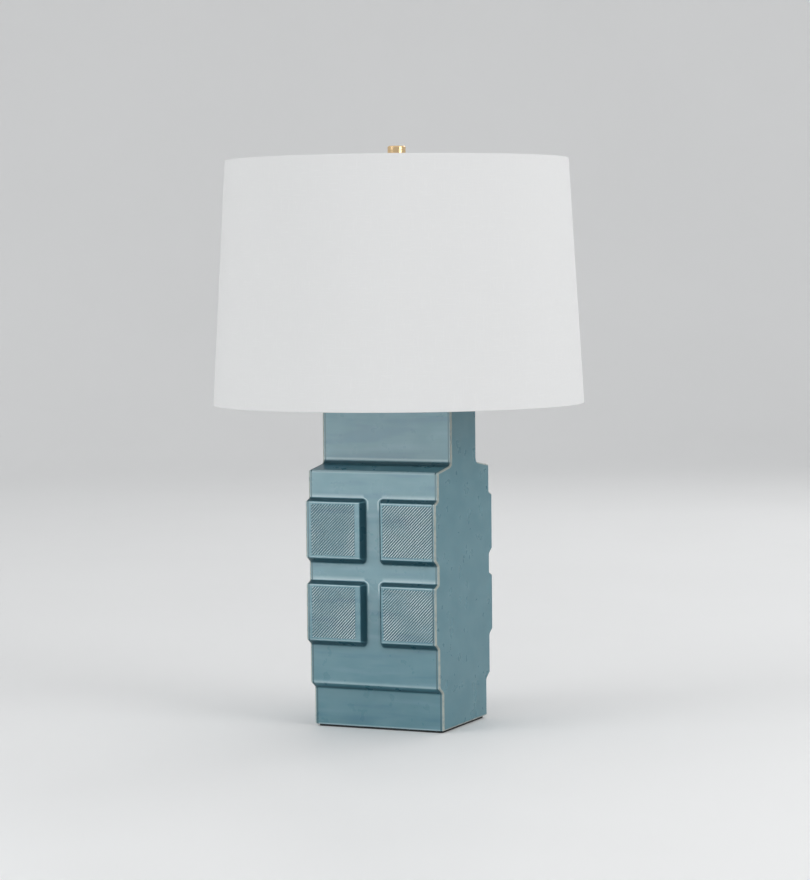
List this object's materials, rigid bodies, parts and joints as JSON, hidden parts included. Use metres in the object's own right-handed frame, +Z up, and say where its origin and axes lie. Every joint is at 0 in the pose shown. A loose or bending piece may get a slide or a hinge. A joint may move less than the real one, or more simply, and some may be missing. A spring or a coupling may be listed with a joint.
{
  "type": "table lamp",
  "caption": "Table lamp with a glazed rectangular ceramic base carrying ridged raised blocks, a white tapered drum shade and a brass finial.",
  "frame": {"origin": "on the table, under the middle of the base", "axes": "+Z up; the relief faces of the base point along -Y and +Y, its plain sides along -X and +X, and the cord hole is in the +Y face"},
  "size_m": [0.4064, 0.4064, 0.6332],
  "materials": {
    "blue_glaze": "satin-gloss reactive glaze",
    "black_felt": "felt",
    "black_rubber": "matte",
    "zinc_steel": "zinc plated",
    "aged_brass": "polished",
    "socket_card": "insulating fibre",
    "black_phenolic": "moulded",
    "screw_shell_aluminium": "bright",
    "nickel_plate": "nickel plated",
    "white_plastic": "satin",
    "opal_plastic": "opal",
    "white_linen": "fine linen",
    "white_styrene": "satin"
  },
  "bodies": {
    "lamp_base": {"ceramic_body": "blue_glaze", "base_pad": "black_felt", "base_washer": "zinc_steel", "base_lock_washer": "zinc_steel", "base_nut": "zinc_steel", "threaded_rod": "zinc_steel", "cord_grommet": "black_rubber", "neck_gasket": "black_rubber", "neck_cap": "aged_brass", "neck_spacer": "aged_brass", "harp_saddle": "aged_brass", "harp_bow": "aged_brass", "harp_top_boss": "aged_brass", "socket_cap": "aged_brass", "socket_shell": "aged_brass", "socket_liner": "socket_card", "socket_block": "black_phenolic", "socket_screw_shell": "screw_shell_aluminium", "socket_contact_tab": "aged_brass", "terminal_screw_line": "aged_brass", "terminal_screw_neutral": "zinc_steel", "switch_bushing": "aged_brass"},
    "ferrule_left": {"harp_ferrule_left": "aged_brass"},
    "ferrule_right": {"harp_ferrule_right": "aged_brass"},
    "switch": {"switch_stem": "zinc_steel", "switch_knob": "black_phenolic"},
    "bulb_thread": {"bulb_contact": "nickel_plate"},
    "bulb": {"bulb_insulator": "black_phenolic", "bulb_screw_base": "nickel_plate", "bulb_housing": "white_plastic", "bulb_led_board": "nickel_plate", "bulb_diffuser": "opal_plastic"},
    "shade": {"harp_swivel_stud": "zinc_steel", "spider_hub": "zinc_steel", "spider_arm_1": "zinc_steel", "spider_arm_2": "zinc_steel", "spider_arm_3": "zinc_steel", "shade_top_ring": "zinc_steel", "shade_bottom_ring": "zinc_steel", "shade_top_hem": "white_linen", "shade_bottom_hem": "white_linen", "shade_styrene": "white_styrene", "shade_fabric": "white_linen"},
    "finial_thread": {"finial_insert": "aged_brass"},
    "finial": {"finial_knob": "aged_brass"}
  },
  "joints": [
    {"name": "shade_turn", "type": "hinge", "parent": "lamp_base", "child": "shade", "pos_m": [0, 0, 0.6], "axis": [0, 0, 1], "continuous": true},
    {"name": "finial_rise", "type": "slide", "parent": "shade", "child": "finial_thread", "axis": [0, 0, 1], "range_m": [0, 0.0094]},
    {"name": "finial_turn", "type": "hinge", "parent": "finial_thread", "child": "finial", "pos_m": [0, 0, 0.62], "axis": [0, 0, 1], "range_deg": [0, 3600]},
    {"name": "bulb_rise", "type": "slide", "parent": "lamp_base", "child": "bulb_thread", "axis": [0, 0, 1], "range_m": [0, 0.0181]},
    {"name": "bulb_turn", "type": "hinge", "parent": "bulb_thread", "child": "bulb", "pos_m": [0, 0, 0.47], "axis": [0, 0, 1], "range_deg": [0, 1800]},
    {"name": "ferrule_left_slide", "type": "slide", "parent": "lamp_base", "child": "ferrule_left", "axis": [0, 0, 1], "range_m": [0, 0.015]},
    {"name": "ferrule_right_slide", "type": "slide", "parent": "lamp_base", "child": "ferrule_right", "axis": [0, 0, 1], "range_m": [0, 0.015]},
    {"name": "switch_turn", "type": "hinge", "parent": "lamp_base", "child": "switch", "pos_m": [0, -0.03, 0.4081], "axis": [0, -1, 0], "continuous": true}
  ],
  "couplings": [
    {"joint": "finial_turn", "follows": "finial_rise", "rad_per_m": 6679},
    {"joint": "bulb_turn", "follows": "bulb_rise", "rad_per_m": 1730.9}
  ]
}
